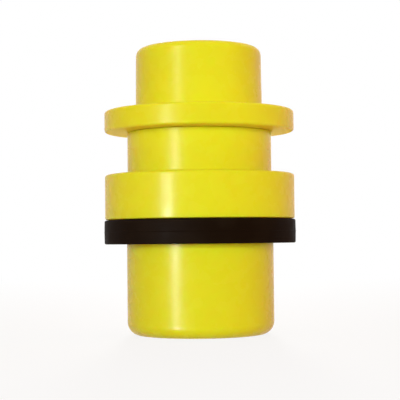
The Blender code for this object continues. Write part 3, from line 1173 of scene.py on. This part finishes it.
@dataclass
class HeadPlug:
    """Push-in plug that closes the head, with a shallow dish, a gate mark and a notch to lift it by."""

    solid: Extent = reach_of("cover_plug")
    thickness: float = 1.20
    edge: float = 0.25
    dish_radius: float = 5.20
    dish_depth: float = 0.14
    dimple_radius: float = 0.60
    dimple_floor: float = 0.36
    dimple_depth: float = 0.08
    skirt_outer: float = 6.20
    skirt_inner: float = 5.40
    notch_depth: float = 0.90
    notch_width: float = 3.00
    notch_edge: float = 0.12

    def build(self, finishes: Finishes) -> Object:
        """Builds and dresses the plug.

        Args:
            finishes: the materials.

        Returns:
            The piece.
        """
        radius, top = self.solid.radius, self.solid.top
        bottom = top - self.thickness
        floor = top - self.dish_depth
        outline = [
            Corner(0.0, floor - self.dimple_depth),
            Corner(self.dimple_floor, floor - self.dimple_depth, 0.10),
            Corner(self.dimple_radius, floor, 0.05),
            Corner(self.dish_radius - self.dish_depth, floor, 0.10),
            Corner(self.dish_radius, top, 0.08),
            Corner(radius, top, self.edge),
            Corner(radius, bottom, 0.05),
            Corner(self.skirt_outer, bottom, 0.05),
            Corner(self.skirt_outer, self.solid.bottom, 0.20),
            Corner(self.skirt_inner, self.solid.bottom, 0.10),
            Corner(self.skirt_inner, bottom, 0.20),
            Corner(0.0, bottom),
        ]
        shape = turned(outline, INNER_STEPS, closed=False)
        height = 2 * self.thickness
        centre = (radius, 0.0, bottom + self.thickness / 2 + height / 2)
        notch = block((2 * self.notch_depth, self.notch_width, height), centre, self.notch_edge)
        shape = combined(shape, notch, Joining.CUT)
        return show("head_plug", shape, finishes.yellow, Body.COVER, Slot.YELLOW, "cover_plug")


@dataclass
class ClampScrew:
    """The socket screw, the washers under its head and the ring that lifts the cap with it."""

    fits: Fits
    bolt: Extent = reach_of("clamp_bolt")
    plain: Extent = reach_of("flat_washer")
    lock: Extent = reach_of("spring_washer")
    keeper: Extent = reach_of("keeper_ring")
    head_height: float = 4.00
    knurl_depth: float = 0.10
    knurl_below_top: float = 0.80
    knurl_above_seat: float = 0.40
    knurl_margin: float = 0.10
    socket_sides: int = 6
    socket_flats: float = 4.00
    socket_depth: float = 2.30
    socket_point: float = 0.70
    socket_over: float = 1.00
    shank_length: float = 10.00
    thread_depth: float = 0.54
    thread_shares: tuple[float, float, float] = (0.15, 0.51, 0.64)
    tip_inset: float = 0.10
    lock_rise: float = 0.16
    lock_gap: float = 9.0
    lock_edge: float = 0.18
    keeper_slots: int = 6
    keeper_slot: float = 0.70
    keeper_slot_edge: float = 0.15
    keeper_rim: float = 0.90

    @property
    def seat(self) -> float:
        """The height of the head's underside."""
        return self.bolt.top - self.head_height

    @property
    def thread_top(self) -> float:
        """The height at which the plain shank ends and the thread starts."""
        return self.seat - self.shank_length

    def build(self, finishes: Finishes) -> list[Object]:
        """Builds and dresses the screw and its rings.

        Args:
            finishes: the materials.

        Returns:
            The pieces.
        """
        steel = finishes.steel
        parts = [
            ("screw_head", self.head(), Body.BOLT, "clamp_bolt"),
            ("screw_thread", self.thread(), Body.BOLT, "clamp_bolt"),
            ("plain_washer", self.plain_washer(), Body.CAP, "flat_washer"),
            ("lock_washer", self.lock_washer(), Body.BOLT, "spring_washer"),
            ("lift_ring", self.lift_ring(), Body.BOLT, "keeper_ring"),
        ]
        return [show(name, shape, steel, body, Slot.STEEL, node) for name, shape, body, node in parts]

    def head(self) -> BMesh:
        """The knurled head with its hexagon socket, and the plain part of the shank.

        Returns:
            The closed shape.
        """
        top, radius = self.bolt.top, self.bolt.radius
        knurl_top = top - self.knurl_below_top
        knurl_bottom = self.seat + self.knurl_above_seat
        outline = [
            Corner(0.0, top),
            Corner(radius, top, 0.40),
            Corner(radius, knurl_top),
            Corner(radius, knurl_bottom),
            Corner(radius, self.seat, 0.15),
            Corner(self.fits.bolt_radius, self.seat, 0.12),
            Corner(self.fits.bolt_radius, self.thread_top),
            Corner(0.0, self.thread_top),
        ]
        shape = turned(outline, INNER_STEPS, closed=False)
        low, high = knurl_bottom - self.knurl_margin, knurl_top + self.knurl_margin
        band = [vert for vert in shape.verts if low < vert.co.z / MM < high]
        push_radially([vert for vert in band if in_hollow(vert)], -self.knurl_depth)
        return combined(shape, self.socket(), Joining.CUT)

    def socket(self) -> BMesh:
        """The hexagon that is cut into the head, with its drilled point.

        Returns:
            The shape that is cut out.
        """
        corner = self.socket_flats / 2 / math.cos(math.pi / self.socket_sides)
        over = self.bolt.top + self.socket_over
        floor = self.bolt.top - self.socket_depth
        outline = [
            Corner(0.0, over),
            Corner(corner, over),
            Corner(corner, floor),
            Corner(0.0, floor - self.socket_point),
        ]
        return turned(outline, self.socket_sides, closed=False)

    def thread(self) -> BMesh:
        """The threaded part of the shank, with its chamfered tip.

        Returns:
            The closed shape.
        """
        pitch = self.fits.thread_pitch
        crest = self.fits.bolt_radius
        root = crest - self.thread_depth
        section = thread_section(root, crest, pitch, self.thread_shares)
        shape = helix(section, pitch, self.bolt.bottom, self.thread_top)
        close_ends(shape)
        for vert in shape.verts:
            limit = root - self.tip_inset + (vert.co.z / MM - self.bolt.bottom)
            if reach(vert) > limit:
                push_radially([vert], limit - reach(vert))
        return merged(shape)

    def plain_washer(self) -> BMesh:
        """The plain washer, with the rounded edge of its punched side.

        Returns:
            The closed shape.
        """
        outline = [
            Corner(self.plain.radius, self.plain.top, 0.30),
            Corner(self.plain.radius, self.plain.bottom, 0.06),
            Corner(self.fits.bolt_hole, self.plain.bottom, 0.06),
            Corner(self.fits.bolt_hole, self.plain.top, 0.20),
        ]
        return turned(outline, INNER_STEPS)

    def lock_washer(self) -> BMesh:
        """The split lock washer, whose ends stand a little apart in height.

        Returns:
            The closed shape.
        """
        inner, outer = self.fits.bolt_radius + self.fits.slip, self.lock.radius
        top, bottom = self.lock.top - self.lock_rise, self.lock.bottom
        places = ((outer, top), (outer, bottom), (inner, bottom), (inner, top))
        shape = outline_wire([Corner(*place, self.lock_edge) for place in places], closed=True)
        wind(shape, INNER_STEPS, FULL_TURN - math.radians(self.lock_gap), self.lock_rise)
        close_ends(shape)
        return merged(shape)

    def lift_ring(self) -> BMesh:
        """The push-on ring, slotted so that its teeth grip the shank.

        Returns:
            The closed shape.
        """
        top, bottom = self.keeper.top, self.keeper.bottom
        inner = self.fits.bolt_radius + self.fits.slip
        outline = [
            Corner(self.keeper.radius, top, 0.12),
            Corner(self.keeper.radius, bottom, 0.12),
            Corner(inner, bottom, 0.05),
            Corner(inner, top, 0.05),
        ]
        shape = turned(outline, INNER_STEPS)
        length = self.keeper.radius - self.keeper_rim
        through = 3 * (top - bottom)
        sides = (length, self.keeper_slot, through)
        centre = (length / 2, 0.0, (bottom + top) / 2)
        for index in range(self.keeper_slots):
            turn = FULL_TURN * index / self.keeper_slots
            shape = combined(shape, block(sides, centre, self.keeper_slot_edge, turn), Joining.CUT)
        return shape


class Lamp(Enum):
    """What a studio lamp does: a bank lights the knob, and a strip only shows in its gloss."""

    BANK = "bank"
    STRIP = "strip"


@dataclass(frozen=True)
class Softbox:
    """A rectangular studio lamp that points at the knob. Places and sizes are in metres."""

    name: str
    kind: Lamp
    place: tuple[float, float, float]
    width: float
    height: float
    watts: float
    colour: Colour = (1.0, 1.0, 1.0)

    def light(self, target: Vector) -> None:
        """Hangs the lamp.

        Args:
            target: the point that it looks at.
        """
        lamp = bpy.data.lights.new(self.name, "AREA")
        lamp.shape = "RECTANGLE"
        lamp.size = self.width
        lamp.size_y = self.height
        lamp.energy = self.watts
        lamp.color = self.colour
        made = bpy.data.objects.new(self.name, lamp)
        bpy.context.scene.collection.objects.link(made)
        made.visible_camera = False
        made.visible_diffuse = self.kind is Lamp.BANK
        made.visible_glossy = self.kind is Lamp.STRIP
        made.location = self.place
        made.rotation_euler = (target - Vector(self.place)).to_track_quat("-Z", "Y").to_euler()


def seen_rays(tree: NodeTree) -> NodeSocket:
    """Adds nodes that tell the rays by which a thing is seen, also in gloss, from those by which it lights.

    Args:
        tree: the tree that gets them.

    Returns:
        1 for a ray that sees, otherwise 0.
    """
    path = tree.nodes.new("ShaderNodeLightPath")
    seen = path.outputs["Is Camera Ray"]
    for kind in ("Is Glossy Ray", "Is Transmission Ray"):
        either = tree.nodes.new("ShaderNodeMath")
        either.operation = "MAXIMUM"
        tree.links.new(seen, either.inputs[0])
        tree.links.new(path.outputs[kind], either.inputs[1])
        seen = either.outputs[0]
    return seen


@dataclass
class Studio:
    """Pale floor, soft light, white ground and the camera."""

    eye_height: float = 13.25 * MM
    distance: float = 172.0 * MM
    sideways: float = 0.03 * MM
    lens: float = 109.35
    pitch: float = math.radians(1.888)
    roll: float = math.radians(-0.60)
    floor_side: float = 4.0
    floor_colour: Colour = (0.70, 0.58, 0.46)
    floor_tone: float = 0.985
    floor_grain_mm: float = 3.0
    near_white: float = 0.87
    near: float = 0.03
    far: float = 0.25
    key_colour: Colour = (0.79, 1.0, 1.0)
    side_colour: Colour = (1.0, 0.24, 0.04)
    low_colour: Colour = (1.0, 0.94, 0.34)
    ambient: Colour = (1.0, 0.34, 0.14)
    ambient_strength: float = 0.17

    def build(self) -> None:
        """Sets up the whole studio."""
        scene = bpy.context.scene
        scene.view_settings.view_transform = "Standard"
        self.lay_floor()
        self.fill_world()
        low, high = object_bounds()
        middle = (low + high) / 2
        lamps = (
            Softbox("streak_strip", Lamp.STRIP, (-0.29, -0.37, 0.022), 0.072, 0.044, 1.35),
            Softbox("low_strip", Lamp.STRIP, (-0.29, -0.37, -0.17), 0.072, 0.20, 3.2),
            Softbox("front_bank", Lamp.BANK, (-0.05, -0.70, 0.09), 0.50, 0.18, 3.9, self.key_colour),
            Softbox("back_bank", Lamp.BANK, (0.05, 0.70, 0.09), 0.50, 0.18, 3.9, self.key_colour),
            Softbox("left_bank", Lamp.BANK, (-0.70, 0.05, 0.14), 0.30, 0.26, 0.28, self.side_colour),
            Softbox("right_bank", Lamp.BANK, (0.70, 0.05, 0.14), 0.30, 0.26, 0.95, self.side_colour),
            Softbox("top_bank", Lamp.BANK, (0.0, 0.0, 0.80), 0.60, 0.60, 2.5),
            Softbox("high_strip", Lamp.STRIP, (-0.29, -0.37, 0.22), 0.072, 0.14, 1.6),
            Softbox("back_strip", Lamp.STRIP, (0.0, 0.48, 0.11), 0.060, 0.22, 4.6),
            Softbox("low_back_strip", Lamp.STRIP, (0.0, 0.48, -0.19), 0.060, 0.20, 1.7, self.low_colour),
        )
        for lamp in lamps:
            lamp.light(middle)
        self.stand_camera()

    def lay_floor(self) -> None:
        """Lays a pale floor that looks white, keeps the shadow and lets the low strips through."""
        shape = bmesh.new()
        bmesh.ops.create_grid(shape, x_segments=1, y_segments=1, size=self.floor_side / 2)
        floor = loose_object("pale_floor", shape)
        floor.location.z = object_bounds()[0].z
        floor.visible_shadow = False
        wiring = Wiring("pale_floor_paint")
        grain = wiring.noise(self.floor_grain_mm, detail=3.0)
        darker = [self.floor_tone * part for part in self.floor_colour]
        wiring.set_shader(
            Base_Color=wiring.between(grain, self.floor_colour, darker),
            Roughness=0.9,
            Specular_IOR_Level=0.1,
        )
        away = wiring.add("VectorMath", operation="LENGTH")
        wiring.feed(away.inputs[0], wiring.place)
        white = wiring.spread(away.outputs["Value"], self.near_white, 1.0, self.near, self.far)
        share = wiring.add("Math", operation="MULTIPLY")
        wiring.feed(share.inputs[0], seen_rays(wiring.tree))
        wiring.feed(share.inputs[1], white)
        mix = wiring.add("MixShader")
        wiring.feed(mix.inputs["Fac"], share.outputs[0])
        wiring.feed(mix.inputs[1], wiring.shader.outputs["BSDF"])
        wiring.feed(mix.inputs[2], wiring.add("Emission").outputs["Emission"])
        output = wiring.tree.nodes["Material Output"]
        wiring.feed(output.inputs["Surface"], mix.outputs["Shader"])
        floor.data.materials.append(wiring.material)
        floor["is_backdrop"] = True

    def fill_world(self) -> None:
        """Makes the world white where it is seen, also in gloss, and soft and warm where it lights."""
        world = bpy.data.worlds.new("studio_air")
        bpy.context.scene.world = world
        world.use_nodes = True
        nodes, links = world.node_tree.nodes, world.node_tree.links
        lit = nodes["Background"]
        lit.inputs["Color"].default_value = (*self.ambient, 1.0)
        lit.inputs["Strength"].default_value = self.ambient_strength
        white = nodes.new("ShaderNodeBackground")
        white.inputs["Color"].default_value = (1.0, 1.0, 1.0, 1.0)
        mix = nodes.new("ShaderNodeMixShader")
        links.new(seen_rays(world.node_tree), mix.inputs["Fac"])
        links.new(lit.outputs["Background"], mix.inputs[1])
        links.new(white.outputs["Background"], mix.inputs[2])
        links.new(mix.outputs["Shader"], nodes["World Output"].inputs["Surface"])

    def stand_camera(self) -> None:
        """Stands the camera before the knob, near the height of the rubber ring."""
        data = bpy.data.cameras.new("studio_camera")
        data.lens = self.lens
        data.clip_start = self.distance / 100
        camera = bpy.data.objects.new("studio_camera", data)
        bpy.context.scene.collection.objects.link(camera)
        place = Matrix.Translation((self.sideways, -self.distance, self.eye_height))
        tilt = Matrix.Rotation(math.pi / 2 + self.pitch, 4, "X")
        camera.matrix_world = place @ tilt @ Matrix.Rotation(self.roll, 4, "Z")
        bpy.context.scene.camera = camera


def main() -> None:
    """Builds the sub-assemblies in order, then the studio round them."""
    logging.basicConfig(level=logging.INFO, format="%(name)s: %(message)s")
    fits = Fits()
    finishes = Finishes.make()
    BaseMoulding(fits).build(finishes)
    SealRing().build(finishes)
    NeckSeal().build(finishes)
    ThreadInsert(fits).build(finishes)
    CapMoulding(fits).build(finishes)
    ClampScrew(fits).build(finishes)
    HeadPlug().build(finishes)
    Studio().build()


if __name__ == "__main__":
    main()
